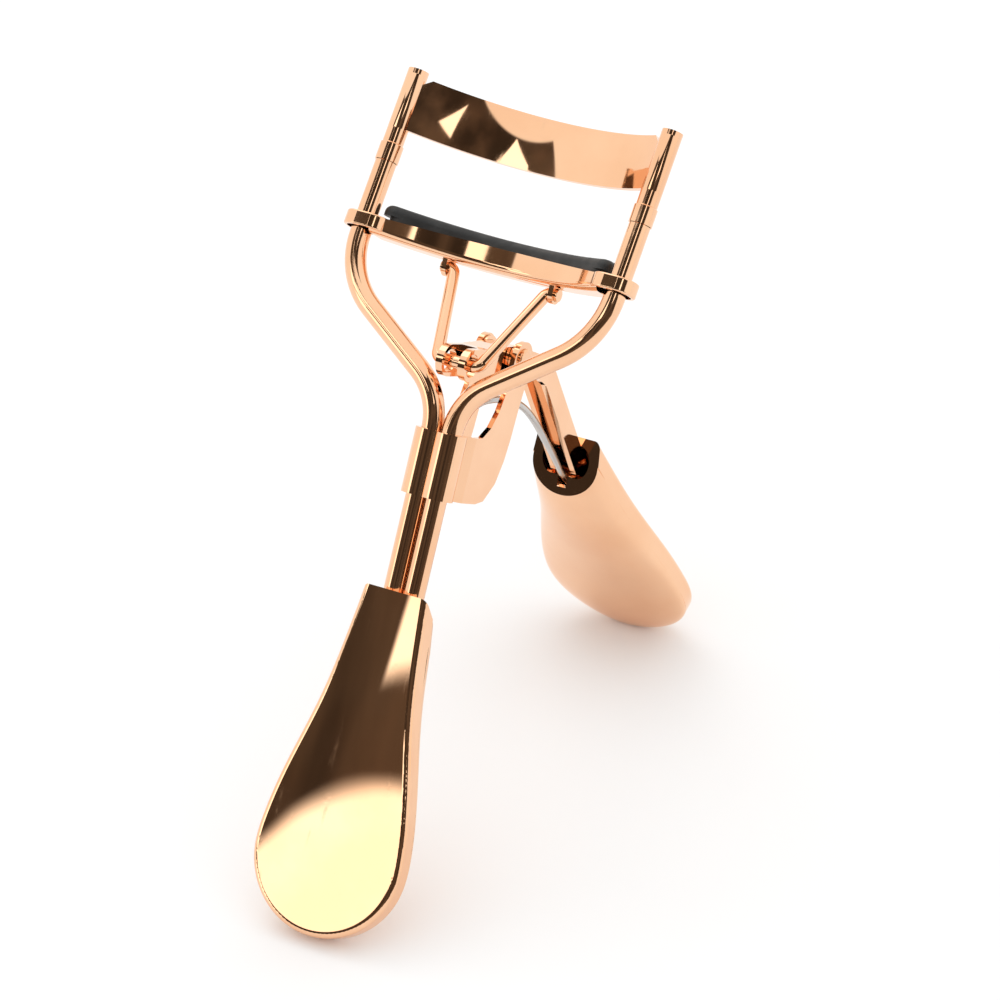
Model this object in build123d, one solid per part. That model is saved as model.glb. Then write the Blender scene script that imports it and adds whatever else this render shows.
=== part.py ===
"""Eyelash curler: two bent frame wires, curved jaws, a link, a pinched pivot bracket, a lever and two handles.

Millimetres. Everything is designed in a "tool frame": x across the jaws, y away from the user's face side
towards the moving handle, z up along the front stem. placement() then leans the whole tool back until the ends
of both handles stand on z = 0.
"""
import os
from math import cos, radians, sin, sqrt

from build123d import *

# ---- driving dimensions ----------------------------------------------------------------------------------
WIRE_DIA = 2.5            # frame wire
ROD_SPACING = 33.0        # between the centres of the two upright rods
ROD_TILT = 14.0           # the rods lean back from the stem by this many degrees
ROD_LENGTH = 24.9         # from the corner of the bend to the sleeve's top
FORK_CORNER_Z = 10.4      # height of the bend's corner over the corner where the wires part
PART_RADIUS = 7.5         # bend radius where the wires part
ROD_RADIUS = 9.4          # bend radius under the rods
WIRE_GAP = 0.04           # between the two wires in the stem
STEM_END_Z = -34.0        # lower end of the wires, inside the handle
STANDING_LEAN = 31.355    # the ends of both handles are equally low at this lean
NECK_DIA = 1.7            # the rods are turned down under the jaw's sleeves
NECK_START = 13.7         # along the rod from the bend's corner
NECK_ROOT = 0.2           # the neck starts this deep in the rod
NECK_SHORT = 0.3          # and ends this far below the sleeve's top

JAW_CHORD = 31.0          # the jaws' centre line, between the rods
JAW_SAG = 5.5             # how far its middle bows back
PLATE_THICK = 0.7
PLATE_LOW = 17.8          # along the rod
PLATE_HIGH = 24.2
PLATE_NOTCH = 1.4         # the plate's upper corners are cut off
SLEEVE_WALL = 0.38
CRIMP_HEIGHT = 2.2
CRIMP_OUT = 0.14          # the crimped end stands out this much
TIGHT = 0.01              # radial room where a sheet grips a wire or a pin
SEAM = 0.05               # gap where two stacked pieces meet
SLIDER_AT = 6.4           # middle of the slider's straps along the rod, jaws open
STRAP_HEIGHT = 1.7
STRAP_THICK = 0.45
STRAP_CLEAR = 0.32        # between a strap and its rod
STRAP_RUN = 1.4           # straight part of a strap's two sides
STRAP_SHIFT = 0.25        # the loop's outer end stands this much further off the rod
STRAP_ROUND = 0.2
CHANNEL_WIDTH = 3.8
CHANNEL_WALL = 0.5
CHANNEL_ROUND = 0.75      # along the tray's lower edges
CROWN_RADIUS = 160.0      # of the tray's top edge, seen from the front
CHANNEL_LOW = -1.2        # from the straps' middle
CHANNEL_HIGH = 1.4
CHANNEL_TILT = 3.0        # the pad faces slightly towards the face
PAD_TOP = 2.75
PAD_FIT = 0.05
PAD_ROUND = 0.85
PAD_END_ROUND = 1.2

PIVOT_Y = 10.2
PIVOT_Z = 5.6
PIN_DIA = 1.8
PIN_FIT = 0.03
PIN_SHOULDER = 0.02       # between a leaf and the rivet's head
PIN_HEAD = (1.25, 0.4, 0.3)     # radius, height, rounding
PIN_TAIL = (1.2, 0.35, 0.25)
WASHER_RADIUS = 1.75
FORK_Y = 0.0              # loose hole in the fork, jaws open
FORK_Z = 4.05
FORK_HOLE_DIA = 2.7
FORK_ROUND = 1.85
FORK_HALF_WIDTH = 1.85
LEVER_HALF_WIDTH = 1.7
LEVER_SHEET = 0.7
UNDER_AT = (8.0, 1.0)     # the lever is open towards the stem: middle and size of that opening from the side
UNDER_SIZE = (22.0, 4.6)
FORK_SLOT_END = 2.0       # the arms of the fork join here
ROOMY = 12.0              # a cutter this big reaches past any piece of the lever
LEVER_LENGTH = 32.0       # rear end of the stem, along the lever from the pivot
FORK_LONG = 7.05          # the fork is this long, and wider than the rest of the lever
FLANGE_OUT = 2.75
FLANGE_SHEET = 0.6
FLANGE_ROUND = 2.0        # of a leaf's end, round the pin
LINK_DIA = 1.45
LINK_TOP_X = 6.1
LINK_BEND = 0.95
LUG_X = 6.95
LUG_THICK = 0.6
LUG_ROUND = 1.08
LINK_RELIEF = 0.14        # round the link's top bends, under the channel
LUG_Y = 5.65
LUG_Z = 13.8
LUG_RISE = 1.6            # from the hole up into the channel's floor
LINK_END = 0.35           # the link's ends stand this far out of the lugs
LINK_BOTTOM_X = 2.7
SPRING_DIA = 0.85

LEVER_ANGLE = 52.0        # from straight down the stem, jaws open
STEM_INNER = 3.4          # the rear stem's edges, out from the line through the pivot
STEM_OUTER = 5.8
REAR_MOUTH = 22.2         # the outer lip of the rear handle, along the lever from the pivot
REAR_OUT = 4.35           # its parting plane, out from the line through the pivot
HANDLE_BEND = 3.4         # each handle turns out from its stem by this much

FRONT_LENGTH = 39.9
REAR_LENGTH = 35.4
HANDLE_FACE = 2.2         # from the parting plane out to the rim
MOUTH_SLANT = 4.6         # the inner lip lies this much further along than the outer lip
MOUTH_RUN_ON = 4.0        # the outline runs on past the mouth, and is cut off there
NECK_IN = 0.3             # it is this much narrower there
DISH_LIP = 0.8            # flat land between the outer lip and the dish
MOUTH_HALF = 3.1
MOUTH_HEIGHT = 2.9
MOUTH_DEPTH = 7.0
SOCKET_FIT = 0.04
HANDLE_PIN_DIA = 1.5
HANDLE_PIN_HALF = 4.75
HANDLE_PIN_AT = 6.0
FRONT_MOUTH_Z = -22.5
NOTCH_WIDTH = 1.2         # of the spring's slot
# share of the length from the outer lip: half width, depth of the inner side, depth of the dish
HANDLE_STATIONS = [
    (0.0, 4.15, 2.8, 0.20),
    (0.12, 4.7, 3.1, 0.34),
    (0.24, 5.35, 3.35, 0.42),
    (0.36, 6.25, 3.15, 0.46),
    (0.48, 7.45, 2.75, 0.48),
    (0.60, 8.6, 2.4, 0.48),
    (0.72, 9.35, 2.15, 0.46),
]
TIP_START = 0.77          # the outline is an ellipse from here to the tip
TIP_HALF_WIDTH = 9.45
TIP_DEPTH = 2.1
TIP_DISH = 0.44
RIM_INSET = 1.15
RIM_ROUND = 0.75
OVERSHOOT = 0.01          # a cutting shape stands this far off the face it cuts

COPPER = Color(0.86, 0.55, 0.42)
BLACK = Color(0.03, 0.03, 0.03)
STEEL = Color(0.6, 0.6, 0.62)
PARTS = {}


def keep(name, shape, color):
    """Remember one finished piece, still in the tool frame."""
    solids = shape.solids() if hasattr(shape, "solids") else [shape]
    body = solids[0] if len(solids) == 1 else Compound(children=list(solids))
    body.color = color
    body.label = name
    PARTS[name] = body


def rod(dia, start, end):
    """A straight round bar between two points."""
    a = Vector(*start)
    b = Vector(*end)
    plane = Plane(origin=a, z_dir=(b - a))
    return extrude(plane * Circle(dia / 2), (b - a).length)


def wire_along(points, radii, dia):
    """A round wire along straight runs joined by tangent arcs."""
    path = FilletPolyline(*points, radius=radii)
    start = Plane(origin=path @ 0, z_dir=path % 0)
    return sweep(start * Circle(dia / 2), path)


# ---- jaw frame: z along the rods from the bend's corner, y straight back from them -------------------------
JAW = Pos(0, 0, FORK_CORNER_Z) * Rot(-ROD_TILT, 0, 0)
HALF_SPACING = ROD_SPACING / 2
ARC_RADIUS = ((JAW_CHORD / 2) ** 2 + JAW_SAG ** 2) / (2 * JAW_SAG)
ARC_CENTRE_Y = JAW_SAG - ARC_RADIUS
ARC_FRONT = 3.0           # how far a ring reaches in front of the rods
CHANNEL_HALF = HALF_SPACING - WIRE_DIA / 2 - STRAP_CLEAR - 0.15
PAD_HALF = HALF_SPACING - WIRE_DIA / 2 - 0.35


def arc_band(inner, outer, half_length, low, high):
    """Part of a ring about the jaws' arc centre, between two heights along the rods."""
    ring = Circle(outer) - Circle(inner)
    window = Pos(0, outer - ARC_FRONT) * Rectangle(2 * half_length, 2 * outer)
    flat = (Pos(0, ARC_CENTRE_Y) * ring) & window
    return Pos(0, 0, low) * extrude(flat, high - low)


def rod_point(along):
    """A point on the right rod's centre line, in the tool frame."""
    tilt = radians(ROD_TILT)
    return (HALF_SPACING, along * sin(tilt), FORK_CORNER_Z + along * cos(tilt))


# ---- the two frame wires ------------------------------------------------------------------------------------
def frame_wire(side):
    """One wire: stem, spread and rod, with a turned-down neck at the top."""
    stem_x = WIRE_DIA / 2 + WIRE_GAP / 2
    points = [(stem_x, 0, STEM_END_Z), (stem_x, 0, 0), (HALF_SPACING, 0, FORK_CORNER_Z), rod_point(NECK_START)]
    points = [(side * x, y, z) for x, y, z in points]
    body = wire_along(points, [PART_RADIUS, ROD_RADIUS], WIRE_DIA)
    low = rod_point(NECK_START - NECK_ROOT)
    top = rod_point(ROD_LENGTH - NECK_SHORT)
    neck = rod(NECK_DIA, (side * low[0], low[1], low[2]), (side * top[0], top[1], top[2]))
    return body + neck


# ---- upper jaw ------------------------------------------------------------------------------------------------
def sleeve(side):
    """A rolled end of the jaw plate round one rod, with its crimped lower end."""
    outer = NECK_DIA / 2 + SLEEVE_WALL
    bore = NECK_DIA / 2 + TIGHT
    low = NECK_START + SEAM
    tube = Pos(0, 0, low) * extrude(Circle(outer), ROD_LENGTH - low)
    crimp = Pos(0, 0, low) * extrude(Circle(outer + CRIMP_OUT), CRIMP_HEIGHT)
    crimp = chamfer(crimp.edges().sort_by(Axis.Z)[-1:], CRIMP_OUT - TIGHT)
    hole = Pos(0, 0, low - 1) * extrude(Circle(bore), ROD_LENGTH)
    return Pos(side * HALF_SPACING, 0, 0) * (tube + crimp - hole)


def upper_jaw():
    """A bowed sheet plate whose ends are rolled round the rods."""
    reach = HALF_SPACING - NECK_DIA / 2 - SLEEVE_WALL / 2
    plate = arc_band(ARC_RADIUS - PLATE_THICK / 2, ARC_RADIUS + PLATE_THICK / 2, reach, PLATE_LOW, PLATE_HIGH)
    for side in (-1, 1):
        corner = Pos(side * reach, 0, PLATE_HIGH) * Rot(0, 45 * side, 0)
        plate -= corner * Box(PLATE_NOTCH, JAW_SAG, PLATE_NOTCH)
    body = plate + sleeve(-1) + sleeve(1)
    return JAW * body


# ---- lower jaw: straps, channel, lugs -------------------------------------------------------------------------
def strap(side):
    """A flat loop round one rod, long enough to reach into the channel's end."""
    gap = WIRE_DIA / 2 + STRAP_CLEAR
    outer = gap + STRAP_THICK
    loop = extrude(SlotOverall(2 * outer + STRAP_RUN, 2 * outer), STRAP_HEIGHT)
    loop = fillet(loop.edges().group_by(Axis.Z)[-1] + loop.edges().group_by(Axis.Z)[0], STRAP_ROUND)
    loop -= extrude(SlotOverall(2 * gap + STRAP_RUN, 2 * gap), STRAP_HEIGHT)
    return Pos(side * (HALF_SPACING - STRAP_RUN / 2 + STRAP_SHIFT), 0, -STRAP_HEIGHT / 2) * loop


def channel_frame():
    """Places channel shapes: on the slider, tipped about the line through the rods."""
    return Pos(0, 0, SLIDER_AT) * Rot(CHANNEL_TILT, 0, 0)


def pad_room():
    """The hollow of the channel, and the space over it."""
    wide = CHANNEL_WIDTH / 2 - CHANNEL_WALL
    return arc_band(ARC_RADIUS - wide, ARC_RADIUS + wide, CHANNEL_HALF - CHANNEL_WALL,
                    CHANNEL_LOW + CHANNEL_WALL, CHANNEL_HIGH + 3)


def channel():
    """The curved tray that holds the pad, its top edge slightly crowned."""
    wide = CHANNEL_WIDTH / 2
    tray = arc_band(ARC_RADIUS - wide, ARC_RADIUS + wide, CHANNEL_HALF, CHANNEL_LOW, CHANNEL_HIGH)
    low_edges = tray.edges().group_by(Axis.Z)[0]
    tray = fillet([edge for edge in low_edges if edge.length > 2 * CHANNEL_WIDTH], CHANNEL_ROUND)
    crown = Plane.XZ * (Pos(0, CHANNEL_HIGH - CROWN_RADIUS) * Circle(CROWN_RADIUS))
    tray = tray & extrude(crown, 20, both=True)
    return tray - pad_room()


def lug(side):
    """An ear under the channel with the hole for one end of the link."""
    up = LUG_Z + LUG_RISE
    profile = Polyline((LUG_Y - LUG_ROUND, up), (LUG_Y - LUG_ROUND, LUG_Z), (LUG_Y + LUG_ROUND, LUG_Z),
                       (LUG_Y + LUG_ROUND, up), (LUG_Y - LUG_ROUND, up))
    ear = make_face(profile) + Pos(LUG_Y, LUG_Z) * Circle(LUG_ROUND)
    ear -= Pos(LUG_Y, LUG_Z) * Circle(LINK_DIA / 2 + PIN_FIT)
    return Pos(side * LUG_X, 0, 0) * extrude(Plane.YZ * ear, LUG_THICK / 2, both=True)


def lower_jaw():
    """The slider in one piece."""
    tray = JAW * channel_frame() * channel()
    loops = JAW * Pos(0, 0, SLIDER_AT) * (strap(-1) + strap(1))
    relief = extrude(Plane.YZ * (Pos(LUG_Y, LUG_Z) * Circle(LINK_DIA / 2 + LINK_RELIEF)), LUG_X + LINK_BEND, both=True)
    body = tray + loops - relief + lug(-1) + lug(1)
    return body - JAW * channel_frame() * pad_room()


def jaw_pad():
    """The soft pad in the channel, round along its top and at its ends."""
    wide = CHANNEL_WIDTH / 2 - CHANNEL_WALL - PAD_FIT
    seat = CHANNEL_LOW + CHANNEL_WALL + PAD_FIT
    root = arc_band(ARC_RADIUS - wide, ARC_RADIUS + wide, CHANNEL_HALF - CHANNEL_WALL - PAD_FIT, seat, PAD_TOP - 1)
    body = arc_band(ARC_RADIUS - wide, ARC_RADIUS + wide, PAD_HALF, CHANNEL_HIGH + PAD_FIT, PAD_TOP)
    body = fillet(body.edges().filter_by(Axis.Z), PAD_END_ROUND)
    body = fillet(body.edges().group_by(Axis.Z)[-1], PAD_ROUND)
    root = fillet(root.edges().filter_by(Axis.Z), PAD_END_ROUND)
    return JAW * channel_frame() * (body + root)


# ---- link -----------------------------------------------------------------------------------------------------
def link_wire():
    """One bent wire: across the fork, up both sides, ends turned out through the lugs."""
    end = LUG_X + LUG_THICK / 2 + LINK_END
    low = (FORK_Y, FORK_Z)
    high = (LUG_Y, LUG_Z)
    points = [(-end, *high), (-LINK_TOP_X, *high), (-LINK_BOTTOM_X, *low), (LINK_BOTTOM_X, *low),
              (LINK_TOP_X, *high), (end, *high)]
    return wire_along(points, [LINK_BEND, LINK_BEND, LINK_BEND, LINK_BEND], LINK_DIA)


# ---- pivot bracket ----------------------------------------------------------------------------------------------
COLLAR_TOP = -3.9
COLLAR_LOW = -11.4
COLLAR_VALLEY = 0.35      # the clamp dips this much between the two wires


def collar_profile():
    """Section of the clamp round both wires, and of the pinched neck behind them."""
    sheet = FLANGE_SHEET
    bore = WIRE_DIA / 2 + TIGHT
    stem_x = WIRE_DIA / 2 + WIRE_GAP / 2
    lobes = [Pos(side * stem_x, 0) * Circle(bore + sheet) for side in (-1, 1)]
    profile = lobes[0] + lobes[1] + Rectangle(2 * stem_x, 2 * (bore + sheet - COLLAR_VALLEY))
    inner = FLANGE_OUT - sheet
    for side in (-1, 1):
        neck = Polyline((side * 1.0, 0.9), (side * 2.7, 0.9), (side * 2.0, 2.2), (side * FLANGE_OUT, 3.4),
                        (side * FLANGE_OUT, 3.6), (side * inner, 3.6), (side * inner, 3.5), (side * 1.35, 2.3),
                        (side * 1.0, 0.9))
        profile += make_face(neck)
    for side in (-1, 1):
        profile -= Pos(side * stem_x, 0) * Circle(bore)
    return profile


def flange(side):
    """One leaf of the bracket, in its side view, with the pin's hole."""
    edge = [(3.5, COLLAR_TOP), (4.8, COLLAR_TOP + 0.1), (6.3, -2.6), (7.3, -0.8), (7.9, 1.4), (8.1, 4.2),
            (8.2, PIVOT_Z)]
    back = [(12.2, PIVOT_Z), (12.1, 2.4), (11.8, -0.5), (11.6, -3.5), (11.2, -6.2), (10.3, -8.9), (8.4, -11.0),
            (6.6, COLLAR_LOW), (3.5, COLLAR_LOW)]
    face = make_face(Polyline(*edge, *back, edge[0])) + Pos(PIVOT_Y, PIVOT_Z) * Circle(FLANGE_ROUND)
    face -= Pos(PIVOT_Y, PIVOT_Z) * Circle(PIN_DIA / 2 + TIGHT)
    leaf = extrude(Plane.YZ * face, FLANGE_SHEET)
    start = FLANGE_OUT - FLANGE_SHEET if side > 0 else -FLANGE_OUT
    return Pos(start, 0, 0) * leaf


def pivot_bracket():
    """Clamp and both leaves, stamped from one sheet."""
    clamp = Pos(0, 0, COLLAR_LOW) * extrude(collar_profile(), COLLAR_TOP - COLLAR_LOW)
    return clamp + flange(-1) + flange(1)


def pivot_pin():
    """Rivet through the leaves with a low domed head at each end."""
    half = FLANGE_OUT + PIN_SHOULDER
    plane = Plane(origin=(-half, PIVOT_Y, PIVOT_Z), z_dir=(1, 0, 0))
    body = extrude(plane * Circle(PIN_DIA / 2), 2 * half)
    head_plane = Plane(origin=(half, PIVOT_Y, PIVOT_Z), z_dir=(1, 0, 0))
    radius, height, rounding = PIN_HEAD
    head = extrude(head_plane * Circle(radius), height)
    head = fillet(head.edges().sort_by(Axis.X)[-1:], rounding)
    tail_plane = Plane(origin=(-half, PIVOT_Y, PIVOT_Z), z_dir=(-1, 0, 0))
    radius, height, rounding = PIN_TAIL
    tail = extrude(tail_plane * Circle(radius), height)
    tail = fillet(tail.edges().sort_by(Axis.X)[:1], rounding)
    return body + head + tail


def pivot_washer(side):
    """Spacer ring between the lever and one leaf."""
    thick = FLANGE_OUT - FLANGE_SHEET - LEVER_HALF_WIDTH - 2 * SEAM
    start = side * (LEVER_HALF_WIDTH + SEAM)
    plane = Plane(origin=(start, PIVOT_Y, PIVOT_Z), z_dir=(side, 0, 0))
    return extrude(plane * (Circle(WASHER_RADIUS) - Circle(PIN_DIA / 2 + PIN_FIT)), thick)


# ---- lever ------------------------------------------------------------------------------------------------------
def lever_point(along, out):
    """A point of the lever plane: along the rear stem's direction from the pivot, and out from it."""
    a = radians(LEVER_ANGLE)
    return (PIVOT_Y + along * sin(a) + out * cos(a), PIVOT_Z - along * cos(a) + out * sin(a))


def lever_outline(inset):
    """Side view of the lever; inset leaves the sheet's thickness on the outer side."""
    outer = [(FORK_Y, FORK_Z + FORK_ROUND - inset), (3.5, 6.1 - inset), (7.0, 6.6 - inset), (10.4, 6.9 - inset),
             (13.4, 6.6 - inset), (16.4, 6.3 - inset), (18.6, 5.9 - inset)]
    outer += [lever_point(along, STEM_OUTER - inset) for along in (9.2, LEVER_LENGTH)]
    inner = [lever_point(along, STEM_INNER) for along in (LEVER_LENGTH, 9.0)]
    inner += [(16.8, 3.6), (14.2, 3.0), (12.0, 2.9), (9.0, 2.9), (5.5, 2.5), (FORK_Y, FORK_Z - FORK_ROUND)]
    return make_face(Polyline(*outer, *inner, outer[0]))


def across(face, half_width):
    """A side-view face made solid on both sides of the middle plane."""
    return extrude(Plane.YZ * face, half_width, both=True)


def lever_channel():
    """Stamped channel: fork arms, pivot body and rear stem."""
    fork_end = Pos(FORK_Y, FORK_Z) * Circle(FORK_ROUND)
    side = lever_outline(0) + fork_end
    fork_zone = Pos(0, FORK_Y + FORK_LONG / 2 - FORK_ROUND, FORK_Z) * Box(ROOMY, FORK_LONG, ROOMY)
    body = across(side, LEVER_HALF_WIDTH) + (across(side, FORK_HALF_WIDTH) & fork_zone)
    core = LEVER_HALF_WIDTH - LEVER_SHEET
    inside = across(lever_outline(LEVER_SHEET) + fork_end, core)
    under = across(Pos(*UNDER_AT) * Rectangle(*UNDER_SIZE), core)
    slot = Pos(0, FORK_SLOT_END - ROOMY / 2, FORK_Z) * Box(2 * core, ROOMY, ROOMY)
    body = body - inside - under - slot
    fork_hole = across(Pos(FORK_Y, FORK_Z) * Circle(FORK_HOLE_DIA / 2), ROOMY)
    pin_hole = across(Pos(PIVOT_Y, PIVOT_Z) * Circle(PIN_DIA / 2 + PIN_FIT), ROOMY)
    return body - fork_hole - pin_hole - rear_frame() * handle_pin(HANDLE_PIN_DIA)


# ---- spring -------------------------------------------------------------------------------------------------------
def return_spring():
    """A bent wire from inside the rear handle's mouth to the back of the clamp."""
    points = [(0, 34.3, -8.54), (0, 32.2, -7.62), (0, 25.6, -3.7), (0, 17.5, 0.4), (0, 9.0, 0.4), (0, 4.4, -2.4),
              (0, 3.45, -6.4)]
    return wire_along(points, [5, 40, 14, 12, 4], SPRING_DIA)


# ---- handles: x across, y along from the outer lip, z out towards the dished face --------------------------------
def tip_share(share):
    """How much of the tip's width is left at a share of the way from the tip's start to its end."""
    return sqrt(max(0.0, 1 - share * share))


def handle_outline(length):
    """The teardrop seen from the front, run on past the mouth."""
    first = HANDLE_STATIONS[0][1]
    start = TIP_START * length
    neck = (first - NECK_IN, -MOUTH_RUN_ON)
    right = [neck] + [(half, share * length) for share, half, _, _ in HANDLE_STATIONS]
    right.append((TIP_HALF_WIDTH, start))
    flank_r = Spline(*right, tangents=[(0.05, 1), (0, 1)])
    flank_l = Spline(*[(-x, y) for x, y in reversed(right)], tangents=[(0, -1), (0.05, -1)])
    tip = EllipticalCenterArc((0, start), TIP_HALF_WIDTH, length - start, start_angle=0, arc_size=180)
    mouth = Line((-neck[0], neck[1]), neck)
    return make_face([flank_r, tip, flank_l, mouth])


def section_plane(along):
    """Plane across the handle: its x is the handle's x, its y is the handle's z."""
    return Plane(origin=(0, along, 0), x_dir=(1, 0, 0), z_dir=(0, -1, 0))


def inner_section(along, half, depth):
    """Half an ellipse hanging from the parting plane."""
    arc = EllipticalCenterArc((0, 0), half, depth, start_angle=180, arc_size=180)
    return section_plane(along) * make_face([arc, Line((half, 0), (-half, 0))])


def dish_section(along, half, depth):
    """The lens that is scooped out of the outer face."""
    top = HANDLE_FACE + OVERSHOOT
    bow = ThreePointArc((-half, top), (0, top - depth), (half, top))
    return section_plane(along) * make_face([bow, Line((half, top), (-half, top))])


def mouth_cutter():
    """Everything above the slanted mouth."""
    slope = MOUTH_SLANT / (HANDLE_FACE + HANDLE_STATIONS[0][2])
    low = HANDLE_FACE - ROOMY
    high = HANDLE_FACE + ROOMY
    side = Polyline((0, high), (0, HANDLE_FACE), (slope * ROOMY, low), (-ROOMY, low), (-ROOMY, high), (0, high))
    return across(make_face(side), ROOMY)


def mouth_recess():
    """The handle is open round its stem for a little way in."""
    opening = section_plane(MOUTH_DEPTH) * SlotOverall(2 * MOUTH_HALF, MOUTH_HEIGHT)
    return extrude(opening, MOUTH_DEPTH + MOUTH_RUN_ON)


def inner_half(length):
    """The rounded half that faces the other handle."""
    sections = [inner_section(share * length, half, depth) for share, half, depth, _ in HANDLE_STATIONS]
    start = TIP_START * length
    for share in (0.3, 0.55, 0.75, 0.9):
        left = tip_share(share)
        sections.append(inner_section(start + share * (length - start), TIP_HALF_WIDTH * left,
                                      TIP_DEPTH * left ** 0.7))
    return loft(sections + [Vertex(0, length, 0)])


def outer_half(length):
    """The dished half with its rounded rim."""
    body = extrude(handle_outline(length), HANDLE_FACE)
    rim = body.edges().group_by(Axis.Z)[-1].sort_by(Axis.Y)[1:]
    body = fillet(rim, RIM_ROUND)
    dish = []
    for share, half, _, depth in HANDLE_STATIONS:
        dish.append(dish_section(max(share * length, DISH_LIP), half - RIM_INSET, depth))
    start = TIP_START * length
    run = length - RIM_INSET - start
    for share in (0.3, 0.55, 0.75, 0.88, 0.96):
        left = tip_share(share)
        dish.append(dish_section(start + share * run, (TIP_HALF_WIDTH - RIM_INSET) * left, TIP_DISH * left))
    return body - loft(dish + [Vertex(0, start + run, HANDLE_FACE + OVERSHOOT)])


def front_frame():
    """Handle frame on the front stem: y runs down the stem, z faces the front."""
    a = radians(HANDLE_BEND)
    return Location(Plane(origin=(0, 0, FRONT_MOUTH_Z), x_dir=(-1, 0, 0), z_dir=(0, -cos(a), sin(a))))


def rear_frame():
    """Handle frame on the lever's stem: z faces away from the front handle."""
    y, z = lever_point(REAR_MOUTH, REAR_OUT)
    a = radians(LEVER_ANGLE + HANDLE_BEND)
    return Location(Plane(origin=(0, y, z), x_dir=(1, 0, 0), z_dir=(0, cos(a), sin(a))))


def handle_pin(dia):
    """Small cross pin through the handle's side walls and its stem, in the handle's frame."""
    plane = Plane(origin=(-HANDLE_PIN_HALF, HANDLE_PIN_AT, 0), z_dir=(1, 0, 0))
    return extrude(plane * Circle(dia / 2), 2 * HANDLE_PIN_HALF)


def front_socket():
    """Room for both wires' ends, in the tool frame."""
    wide = 2 * WIRE_DIA + WIRE_GAP + 2 * SOCKET_FIT
    tall = FRONT_MOUTH_Z - STEM_END_Z + 4
    return Pos(0, 0, STEM_END_Z - SOCKET_FIT + tall / 2) * Box(wide, WIRE_DIA + 2 * SOCKET_FIT, tall)


def rear_socket():
    """Room for the end of the lever's stem, in the tool frame."""
    start = REAR_MOUTH - 4
    end = LEVER_LENGTH + SOCKET_FIT
    corners = [(start, STEM_INNER - SOCKET_FIT), (end, STEM_INNER - SOCKET_FIT), (end, STEM_OUTER + SOCKET_FIT),
               (start, STEM_OUTER + SOCKET_FIT)]
    points = [lever_point(along, out) for along, out in corners]
    return across(make_face(Polyline(*points, points[0])), LEVER_HALF_WIDTH + SOCKET_FIT)


def handle_set(prefix, frame, length, stem_socket):
    """Both halves and the cross pin of one handle."""
    cut = mouth_cutter() + mouth_recess() + handle_pin(HANDLE_PIN_DIA)
    keep(prefix + "_handle_outer", frame * (outer_half(length) - cut) - stem_socket, COPPER)
    keep(prefix + "_handle_inner", frame * (inner_half(length) - cut) - stem_socket, COPPER)
    keep(prefix + "_handle_pin", frame * handle_pin(HANDLE_PIN_DIA), COPPER)


def spring_notch():
    """Slot in the rear handle's inner lip that the spring's end sits in."""
    lip_part = Pos(0, 2.6, -2.1) * Box(NOTCH_WIDTH, 3.4, 2.2)
    return lip_part + Pos(0, 3.6, -1.5) * Box(NOTCH_WIDTH, 4.9, NOTCH_WIDTH)


def build():
    """Make every piece in the tool frame."""
    for name, side in (("left", -1), ("right", 1)):
        keep("frame_wire_" + name, frame_wire(side) - front_frame() * handle_pin(HANDLE_PIN_DIA), COPPER)
        keep("pivot_washer_" + name, pivot_washer(side), COPPER)
    keep("upper_jaw", upper_jaw(), COPPER)
    keep("lower_jaw", lower_jaw(), COPPER)
    keep("jaw_pad", jaw_pad(), BLACK)
    keep("link_wire", link_wire(), COPPER)
    keep("pivot_bracket", pivot_bracket(), COPPER)
    keep("pivot_pin", pivot_pin(), COPPER)
    keep("lever_channel", lever_channel(), COPPER)
    keep("return_spring", return_spring(), STEEL)
    handle_set("front", front_frame(), FRONT_LENGTH, front_socket())
    handle_set("rear", rear_frame(), REAR_LENGTH, rear_socket() + rear_frame() * spring_notch())


def placement():
    """Leans the tool back onto both handles and centres it over the origin."""
    lean = Rot(-STANDING_LEAN, 0, 0)
    boxes = [(lean * body).bounding_box() for body in PARTS.values()]
    near = min(box.min.Y for box in boxes)
    far = max(box.max.Y for box in boxes)
    floor = min(box.min.Z for box in boxes)
    return Pos(0, -(near + far) / 2, -floor) * lean


if __name__ == "__main__":
    build()
    stand = placement()
    os.makedirs("parts", exist_ok=True)
    for name, body in PARTS.items():
        export_step(stand * body, "parts/" + name + ".step")
        print(name, "volume %.1f" % body.volume, "valid", body.is_valid, "solids", len(body.solids()))
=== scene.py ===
"""Looks of the eyelash curler: plated metal, silicone pad, spring, floor, light and camera.

Two things here are not what the mesh or a plain studio would give. The crown of the upper jaw and most
of the hollow of the front dish are bump (see crowned). The light that polished metal reflects is a
pattern shaped for this camera's view (see studio_world).
"""
from math import cos, pi, radians, sin

import bpy
from mathutils import Matrix, Vector


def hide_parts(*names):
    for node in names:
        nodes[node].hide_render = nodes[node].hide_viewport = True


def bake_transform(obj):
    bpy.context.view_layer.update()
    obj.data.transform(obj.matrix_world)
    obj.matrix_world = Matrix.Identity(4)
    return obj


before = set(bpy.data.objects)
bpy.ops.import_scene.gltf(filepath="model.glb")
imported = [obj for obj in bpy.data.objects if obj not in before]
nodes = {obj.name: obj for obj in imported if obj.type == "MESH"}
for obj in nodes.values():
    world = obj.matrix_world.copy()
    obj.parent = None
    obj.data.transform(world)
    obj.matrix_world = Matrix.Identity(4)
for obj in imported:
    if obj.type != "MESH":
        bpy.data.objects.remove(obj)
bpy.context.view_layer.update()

MM = 0.001
# the CAD was drawn upright, then leaned back onto its handles and set on the floor (millimetres)
LEAN = radians(31.355)
SHIFT = Vector((0.0, -1.874, 52.223))
ROD_TILT = radians(14.0)        # how far the rods lean back in the upright drawing


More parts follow.
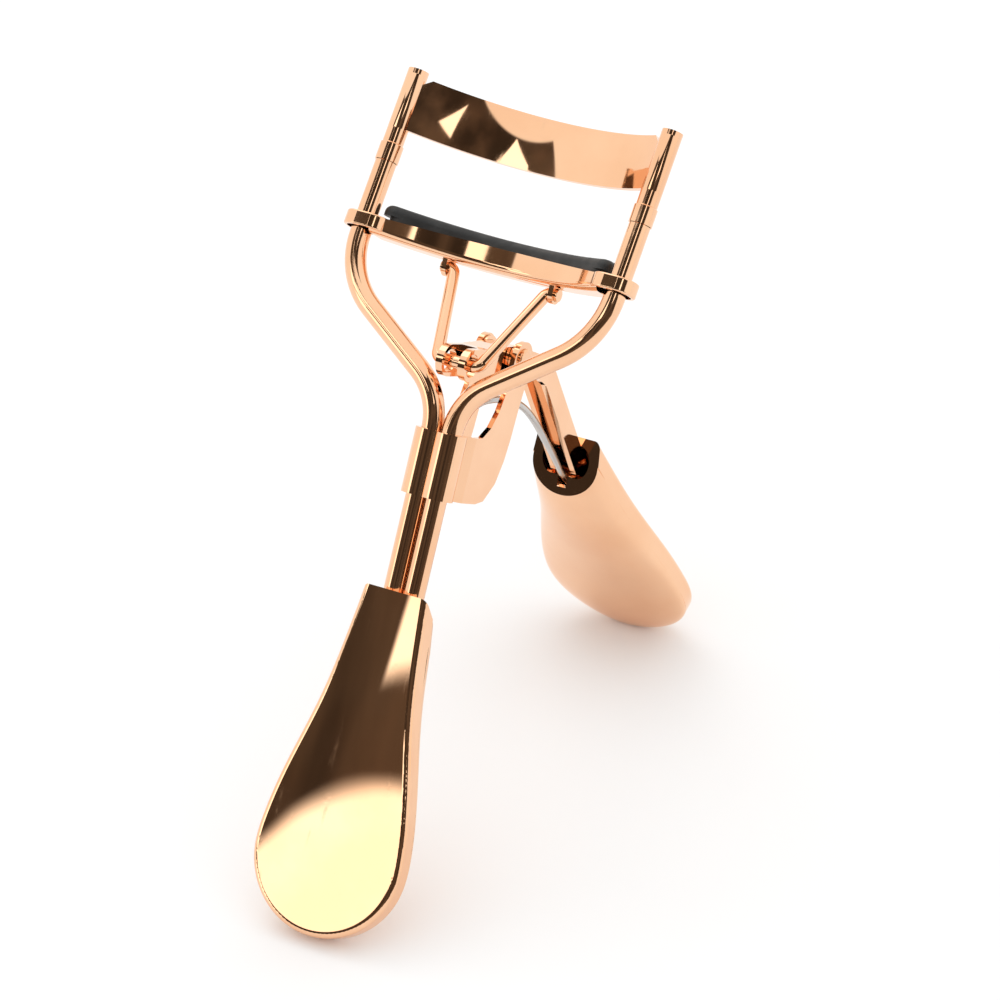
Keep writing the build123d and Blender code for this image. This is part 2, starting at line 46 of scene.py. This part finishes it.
def from_upright(x, y, z):
    """A point of the upright drawing, in millimetres, as a point of the standing tool, in metres."""
    leaned = Matrix.Rotation(-LEAN, 3, "X") @ Vector((x, y, z))
    return (leaned + SHIFT) * MM


# ---- small helpers for node trees ---------------------------------------------------------------------
class Tree:
    """Adds and joins shader nodes with little text."""

    def __init__(self, owner):
        owner.use_nodes = True
        self.tree = owner.node_tree
        self.tree.nodes.clear()

    def add(self, kind, **values):
        node = self.tree.nodes.new(kind)
        for key, value in values.items():
            setattr(node, key, value)
        return node

    def join(self, source, target):
        self.tree.links.new(source, target)

    def math(self, operation, a, b=None, c=None):
        node = self.add("ShaderNodeMath", operation=operation)
        for slot, value in enumerate((a, b, c)):
            if value is None:
                continue
            if isinstance(value, (int, float)):
                node.inputs[slot].default_value = value
            else:
                self.join(value, node.inputs[slot])
        return node.outputs[0]

    def ramp(self, source, low, high, out_low=0.0, out_high=1.0):
        node = self.add("ShaderNodeMapRange", interpolation_type="SMOOTHSTEP")
        self.join(source, node.inputs["Value"])
        node.inputs["From Min"].default_value = low
        node.inputs["From Max"].default_value = high
        node.inputs["To Min"].default_value = out_low
        node.inputs["To Max"].default_value = out_high
        return node.outputs["Result"]

    def noise(self, scale, detail=4.0, stretch=(1.0, 1.0, 1.0), turn=(0.0, 0.0, 0.0)):
        place = self.add("ShaderNodeTexCoord")
        mapping = self.add("ShaderNodeMapping")
        mapping.inputs["Scale"].default_value = stretch
        mapping.inputs["Rotation"].default_value = turn
        self.join(place.outputs["Object"], mapping.inputs["Vector"])
        return self.noise_at(mapping.outputs["Vector"], scale, detail)

    def noise_at(self, vector, scale, detail=4.0):
        node = self.add("ShaderNodeTexNoise")
        node.inputs["Scale"].default_value = scale
        node.inputs["Detail"].default_value = detail
        self.join(vector, node.inputs["Vector"])
        return node.outputs["Fac"]

    def mix(self, factor, a, b):
        node = self.add("ShaderNodeMix", data_type="RGBA")
        self.join(factor, node.inputs[0])
        for socket, value in ((node.inputs[6], a), (node.inputs[7], b)):
            if isinstance(value, tuple):
                socket.default_value = value
            else:
                self.join(value, socket)
        return node.outputs[2]

    def bump(self, height, strength, distance, under=None):
        node = self.add("ShaderNodeBump")
        node.inputs["Strength"].default_value = strength
        node.inputs["Distance"].default_value = distance
        self.join(height, node.inputs["Height"])
        if under is not None:
            self.join(under, node.inputs["Normal"])
        return node.outputs["Normal"]

    def principled(self, metallic=0.0):
        shader = self.add("ShaderNodeBsdfPrincipled")
        shader.inputs["Metallic"].default_value = metallic
        return shader

    def show(self, shader, owner="Material"):
        out = self.add("ShaderNodeOutput" + owner)
        self.join(shader.outputs[0], out.inputs["Surface"])


# ---- materials ----------------------------------------------------------------------------------------
def crowned(t, middle, along, half, rise, under=None):
    """Bump that shades a sheet as if bowed along a direction over 2 * half; a negative rise hollows it.

    The mesh keeps its shape: only the shading changes.
    """
    place = t.add("ShaderNodeTexCoord")
    offset = t.add("ShaderNodeVectorMath", operation="SUBTRACT")
    t.join(place.outputs["Object"], offset.inputs[0])
    offset.inputs[1].default_value = middle
    project = t.add("ShaderNodeVectorMath", operation="DOT_PRODUCT")
    t.join(offset.outputs[0], project.inputs[0])
    project.inputs[1].default_value = along
    share = t.math("DIVIDE", project.outputs["Value"], half)
    share = t.math("MAXIMUM", t.math("MINIMUM", share, 1.0), -1.0)
    bow = t.math("MULTIPLY", t.math("MULTIPLY", share, share), -1.0 if rise > 0 else 1.0)
    return t.bump(bow, 1.0, abs(rise), under)


ROSE = (0.95, 0.60, 0.385, 1)
ROSE_DEEP = (0.91, 0.54, 0.33, 1)
RIPPLE_DEPTH = 0.0006           # metres, of the pressing's ripple at full strength
SCRATCH_DEPTH = 0.00002
HAZE_SPREAD = 1.7               # roughness of hazy places over that of clear ones


def plated_metal(name, smooth, worn, ripple, crowns=()):
    """Polished rose gold plating: a little colour drift, fine wiping scratches, faint pressing ripple."""
    material = bpy.data.materials.new(name)
    t = Tree(material)
    shader = t.principled(metallic=1.0)
    drift = t.ramp(t.noise(90.0), 0.35, 0.7)
    t.join(t.mix(drift, ROSE, ROSE_DEEP), shader.inputs["Base Color"])
    scratches = t.noise(900.0, 6.0, stretch=(1.0, 0.08, 0.08), turn=(0.5, 0.3, 0.9))
    haze = t.noise(260.0, 5.0)
    wear = t.math("MULTIPLY", t.ramp(scratches, 0.56, 0.72), t.ramp(haze, 0.45, 0.7))
    clear = t.ramp(haze, 0.3, 0.8, smooth, smooth * HAZE_SPREAD)
    rough = t.math("ADD", t.math("MULTIPLY", wear, worn), clear)
    t.join(rough, shader.inputs["Roughness"])
    shape = None
    for crown in crowns:
        shape = crowned(t, *crown, under=shape)
    soft = t.bump(t.noise(70.0, 1.0), ripple, RIPPLE_DEPTH, shape)
    fine = t.bump(wear, 0.05, SCRATCH_DEPTH, soft)
    t.join(fine, shader.inputs["Normal"])
    t.show(shader)
    return material


RUBBER_BLACK = (0.016, 0.017, 0.018, 1)
RUBBER_BLOOM = (0.034, 0.035, 0.036, 1)
GRAIN_DEPTH = 0.00002


def silicone(name):
    """Black silicone: matt, with a dusting of fine grain and a slight bloom."""
    material = bpy.data.materials.new(name)
    t = Tree(material)
    shader = t.principled()
    bloom = t.ramp(t.noise(400.0, 5.0), 0.4, 0.75)
    t.join(t.mix(bloom, RUBBER_BLACK, RUBBER_BLOOM), shader.inputs["Base Color"])
    grain = t.noise(5200.0, 3.0)
    t.join(t.ramp(t.noise(700.0), 0.3, 0.75, 0.42, 0.6), shader.inputs["Roughness"])
    t.join(t.bump(grain, 0.25, GRAIN_DEPTH), shader.inputs["Normal"])
    t.show(shader)
    return material


STEEL_BRIGHT = (0.62, 0.6, 0.58, 1)
STEEL_DULL = (0.46, 0.44, 0.42, 1)
LINE_DEPTH = 0.00001


def drawn_wire(name):
    """Bright spring wire with the fine lines of drawing."""
    material = bpy.data.materials.new(name)
    t = Tree(material)
    shader = t.principled(metallic=1.0)
    lines = t.noise(2500.0, 3.0, stretch=(1.0, 0.05, 0.05))
    tone = t.mix(t.ramp(lines, 0.3, 0.7), STEEL_BRIGHT, STEEL_DULL)
    t.join(tone, shader.inputs["Base Color"])
    t.join(t.ramp(lines, 0.3, 0.75, 0.16, 0.34), shader.inputs["Roughness"])
    t.join(t.bump(lines, 0.1, LINE_DEPTH), shader.inputs["Normal"])
    t.show(shader)
    return material


PLATE_MIDDLE = from_upright(0, 5.08, 30.78)
PLATE_ALONG = (from_upright(0, sin(ROD_TILT), cos(ROD_TILT)) - from_upright(0, 0, 0)) / MM
PLATE_HALF = 0.0033             # metres, half the upper jaw's height
PLATE_CROWN = 0.00016
DISH_MIDDLE = from_upright(0, -1.0, -36.5)
DISH_ALONG = (from_upright(0, 0, 1) - from_upright(0, 0, 0)) / MM
DISH_ACROSS = (1, 0, 0)
DISH_HALF_LENGTH = 0.026
DISH_HALF_WIDTH = 0.009
DISH_SINK_ALONG = -0.00118
DISH_SINK_ACROSS = -0.00055

handles_finish = plated_metal("rose_gold_handles", smooth=0.035, worn=0.10, ripple=0.05)
wire_finish = plated_metal("rose_gold_wire", smooth=0.05, worn=0.16, ripple=0.03)
sheet_finish = plated_metal("rose_gold_sheet", smooth=0.045, worn=0.14, ripple=0.06)
dish_finish = plated_metal("rose_gold_dish", smooth=0.015, worn=0.08, ripple=0.04,
                           crowns=[(DISH_MIDDLE, DISH_ALONG, DISH_HALF_LENGTH, DISH_SINK_ALONG),
                                   (DISH_MIDDLE, DISH_ACROSS, DISH_HALF_WIDTH, DISH_SINK_ACROSS)])
jaw_finish = plated_metal("rose_gold_jaw", smooth=0.04, worn=0.12, ripple=0.05,
                          crowns=[(PLATE_MIDDLE, PLATE_ALONG, PLATE_HALF, PLATE_CROWN)])
rubber = silicone("black_silicone")
steel = drawn_wire("spring_steel")


def finish_of(name):
    """Which finish a CAD node wears."""
    if name == "jaw_pad":
        return rubber
    if name == "return_spring":
        return steel
    if name == "upper_jaw":
        return jaw_finish
    if name == "front_handle_outer":
        return dish_finish
    if "handle" in name:
        return handles_finish
    if "wire" in name or "pin" in name:
        return wire_finish
    return sheet_finish


for name, node in nodes.items():
    node.data.materials.clear()
    node.data.materials.append(finish_of(name))


# ---- return spring: a fixed wire curved between the frame and the lever -------------------------------
def spline_points(points, steps):
    """A smooth run through the points (Catmull-Rom)."""
    padded = [points[0] * 2 - points[1]] + points + [points[-1] * 2 - points[-2]]
    run = []
    for i in range(1, len(padded) - 2):
        before, a, b, after = padded[i - 1:i + 3]
        for k in range(steps):
            u = k / steps
            run.append(0.5 * ((2 * a) + (b - before) * u + (2 * before - 5 * a + 4 * b - after) * u * u
                              + (3 * a - before - 3 * b + after) * u ** 3))
    run.append(points[-1])
    return run


END_NARROW = 0.8                # width of a bar's end rings over its full width


def round_wire(name, path, dia, sides=20):
    """A round bar along points, drawn in a little at both ends."""
    verts, faces = [], []
    side = Vector((1, 0, 0))
    for i, point in enumerate(path):
        ahead = path[min(i + 1, len(path) - 1)] - path[max(i - 1, 0)]
        across = ahead.cross(side).normalized()
        narrow = END_NARROW if i in (0, len(path) - 1) else 1.0
        for k in range(sides):
            a = 2 * pi * k / sides
            verts.append(point + (side * cos(a) + across * sin(a)) * dia / 2 * narrow)
    for i in range(len(path) - 1):
        for k in range(sides):
            a = i * sides + k
            b = i * sides + (k + 1) % sides
            faces.append((a, b, b + sides, a + sides))
    faces.append(tuple(reversed(range(sides))))
    faces.append(tuple(range((len(path) - 1) * sides, len(path) * sides)))
    mesh = bpy.data.meshes.new(name)
    mesh.from_pydata(verts, [], faces)
    mesh.polygons.foreach_set("use_smooth", [len(face) == 4 for face in faces])
    obj = bpy.data.objects.new(name, mesh)
    bpy.context.scene.collection.objects.link(obj)
    return obj


SPRING_DIA = 0.00085
SPRING_STEPS = 6                # points drawn between two points of the route
# (y, z) in millimetres of the upright drawing, from the bracket to the rear handle
SPRING_ROUTE = [(3.45, -6.4), (3.7, -4.2), (4.9, -1.9), (7.4, -0.3), (11.0, 0.35), (15.0, 0.35), (18.5, -0.3),
                (22.0, -1.75), (25.6, -3.75), (29.0, -5.7), (31.6, -7.3), (33.0, -7.96), (34.3, -8.54)]
spring_path = spline_points([from_upright(0, y, z) for y, z in SPRING_ROUTE], SPRING_STEPS)
spring = round_wire("spring_wire", spring_path, SPRING_DIA)
spring.data.materials.append(steel)
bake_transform(spring)
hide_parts("return_spring")

# ---- floor --------------------------------------------------------------------------------------------
FLOOR_HALF = 3.0
PAPER_PALE = (0.93, 0.93, 0.93, 1)
PAPER_WHITE = (0.96, 0.96, 0.955, 1)


def floor_plane():
    """Pale, faintly mottled studio floor."""
    mesh = bpy.data.meshes.new("studio_floor")
    corners = [(-FLOOR_HALF, -FLOOR_HALF, 0), (FLOOR_HALF, -FLOOR_HALF, 0), (FLOOR_HALF, FLOOR_HALF, 0),
               (-FLOOR_HALF, FLOOR_HALF, 0)]
    mesh.from_pydata(corners, [], [(0, 1, 2, 3)])
    obj = bpy.data.objects.new("studio_floor", mesh)
    bpy.context.scene.collection.objects.link(obj)
    material = bpy.data.materials.new("floor_paper")
    t = Tree(material)
    shader = t.principled()
    shader.inputs["Roughness"].default_value = 0.9
    shader.inputs["Specular IOR Level"].default_value = 0.1
    t.join(t.mix(t.noise(6.0), PAPER_PALE, PAPER_WHITE), shader.inputs["Base Color"])
    t.show(shader)
    mesh.materials.append(material)


floor_plane()


# ---- light --------------------------------------------------------------------------------------------
# Angles are in degrees. Azimuth is 0 towards the front (-Y) and grows towards +X. Height is over the horizon.
EDGE = 0.6                      # softness of the pattern's edges
OPENING_SIDES = (-47, 75)       # azimuths of the dark opening's sides
OPENING_FOOT = 3
OPENING_TOP = 59.0              # height of its top edge at azimuth 0
OPENING_CLIMB = 0.17            # rise of that edge per degree of azimuth
WEDGES = [(43, 58, 0.45, 7), (-14, 56, 1.2, 13)]   # azimuth, tip height, spread, widest half width
WEDGE_FOOT = 43
PANE_START = 12.4               # the window, strip and patch are placed by their rise over a slanted line
PANE_SLOPE = 0.4
WINDOW_RISE = (29, 39)
WINDOW_RIGHT = -29.0            # places the window's right edge, which leans left as it rises
WINDOW_LEAN = 1.6
RAGGED_SCALE = 9.0              # unevenness of that edge
RAGGED_WIDTH = 7.0
STRIP_SIDES = (-60, -8)
STRIP_RISE = (39, 42)
PATCH_RIGHT = -33
PATCH_TOP = 25.5
EVEN_LIGHT = (1.06, 1.06, 1.06, 1)
CLOTH = (1.08, 1.05, 1.0, 1)
LAMP = (1.9, 1.85, 1.7, 1)
GLOOM_DEEP = (0.035, 0.027, 0.02, 1)
GLOOM_PALE = (0.12, 0.09, 0.065, 1)
GLOOM_SCALE = 3.0


def band(t, value, low, high):
    """1 inside the range, 0 outside, with soft edges."""
    rise = t.ramp(value, low - EDGE, low + EDGE)
    fall = t.ramp(value, high - EDGE, high + EDGE, 1.0, 0.0)
    return t.math("MULTIPLY", rise, fall)


def above(t, value, edge):
    """1 over the edge, 0 under it, softly."""
    return t.ramp(value, edge - EDGE, edge + EDGE)


def below(t, value, edge):
    """1 under the edge, 0 over it, softly."""
    return t.ramp(value, edge - EDGE, edge + EDGE, 1.0, 0.0)


def degrees_of(t, angle):
    return t.math("MULTIPLY", angle, 180 / pi)


def wedge(t, azimuth, height, middle, top, spread, widest):
    """A bright wedge in the opening: its point is at the top, and it widens downward to a limit."""
    off = t.math("ABSOLUTE", t.math("SUBTRACT", azimuth, float(middle)))
    wide = t.math("MULTIPLY", t.math("SUBTRACT", float(top), height), spread)
    wide = t.math("MINIMUM", wide, float(widest))
    return t.ramp(t.math("SUBTRACT", wide, off), -EDGE / 2, EDGE / 2)


def opening_mask(t, azimuth, height):
    """The dark opening, whose top edge climbs to the right."""
    under = t.math("SUBTRACT", t.math("MULTIPLY_ADD", azimuth, OPENING_CLIMB, OPENING_TOP), height)
    mask = t.math("MULTIPLY", band(t, azimuth, *OPENING_SIDES), above(t, under, 0))
    return t.math("MULTIPLY", mask, above(t, height, OPENING_FOOT))


def bright_mask(t, direction, azimuth, height):
    """The bright shapes in the opening: two wedges, a slanted window, a strip over it, a patch under it."""
    wedges = t.math("MAXIMUM", *[wedge(t, azimuth, height, *shape) for shape in WEDGES])
    wedges = t.math("MULTIPLY", wedges, above(t, height, WEDGE_FOOT))
    ragged = t.math("MULTIPLY_ADD", t.noise_at(direction, RAGGED_SCALE), RAGGED_WIDTH, -RAGGED_WIDTH / 2)
    rise = t.math("SUBTRACT", height, t.math("MULTIPLY_ADD", azimuth, PANE_SLOPE, PANE_START))
    edge = t.math("MULTIPLY_ADD", rise, WINDOW_LEAN, WINDOW_RIGHT)
    edge = t.math("ADD", edge, t.math("ADD", azimuth, ragged))
    window = t.math("MULTIPLY", below(t, edge, 0), band(t, rise, *WINDOW_RISE))
    strip = t.math("MULTIPLY", band(t, azimuth, *STRIP_SIDES), band(t, rise, *STRIP_RISE))
    patch = t.math("MULTIPLY", below(t, azimuth, PATCH_RIGHT), below(t, rise, PATCH_TOP))
    return t.math("MAXIMUM", t.math("MAXIMUM", wedges, window), t.math("MAXIMUM", strip, patch))


def studio_world():
    """Even white light for matt surfaces, and a shaped pattern that only polished surfaces reflect.

    The pattern is a white tent with a dark opening, and bright shapes in the opening. Their places were
    chosen for what the jaw and the dish reflect towards this camera. From other sides they fall anywhere.
    """
    world = bpy.data.worlds.new("studio")
    bpy.context.scene.world = world
    t = Tree(world)
    direction = t.add("ShaderNodeTexCoord").outputs["Generated"]
    split = t.add("ShaderNodeSeparateXYZ")
    t.join(direction, split.inputs[0])
    x, y, z = split.outputs
    azimuth = degrees_of(t, t.math("ARCTAN2", x, t.math("MULTIPLY", y, -1.0)))
    height = degrees_of(t, t.math("ARCSINE", z))
    opening = opening_mask(t, azimuth, height)
    bright = bright_mask(t, direction, azimuth, height)
    dark = t.math("MULTIPLY", opening, t.math("SUBTRACT", 1.0, bright))
    gloom = t.mix(t.ramp(t.noise_at(direction, GLOOM_SCALE), 0.35, 0.7), GLOOM_DEEP, GLOOM_PALE)
    cloth = t.mix(t.math("MULTIPLY", opening, bright), CLOTH, LAMP)
    pattern = t.mix(dark, cloth, gloom)
    rays = t.add("ShaderNodeLightPath")
    back = t.add("ShaderNodeBackground")
    t.join(t.mix(rays.outputs["Is Glossy Ray"], EVEN_LIGHT, pattern), back.inputs["Color"])
    t.show(back, "World")


def softbox(name, place, target, size, power):
    """A soft rectangular light."""
    light = bpy.data.lights.new(name, "AREA")
    light.shape = "SQUARE"
    light.size = size
    light.energy = power
    obj = bpy.data.objects.new(name, light)
    obj.location = place
    obj.rotation_euler = (Vector(target) - Vector(place)).to_track_quat("-Z", "Y").to_euler()
    bpy.context.scene.collection.objects.link(obj)


studio_world()
softbox("key_light", place=(-0.5, 0.35, 0.9), target=(0, 0, 0.03), size=0.6, power=1.0)

# ---- camera -------------------------------------------------------------------------------------------
CAMERA_PLACE = Vector((0.29305, -0.45859, 0.37918))
CAMERA_VIEW = Vector((-0.45069, 0.71695, -0.53185)).normalized()
CAMERA_UP = Vector((-0.23944, 0.47687, 0.84574)).normalized()
CAMERA_SENSOR = 36.0            # millimetres
CAMERA_LENS = 203.94
camera_data = bpy.data.cameras.new("camera")
camera_data.sensor_width = CAMERA_SENSOR
camera_data.lens = CAMERA_LENS
camera_data.clip_start = 0.01
camera = bpy.data.objects.new("camera", camera_data)
right = CAMERA_VIEW.cross(CAMERA_UP).normalized()
up = right.cross(CAMERA_VIEW)
turn = Matrix((right, up, -CAMERA_VIEW)).transposed().to_4x4()
camera.matrix_world = Matrix.Translation(CAMERA_PLACE) @ turn
bpy.context.scene.collection.objects.link(camera)
bpy.context.scene.camera = camera
bpy.context.scene.view_settings.view_transform = "Standard"
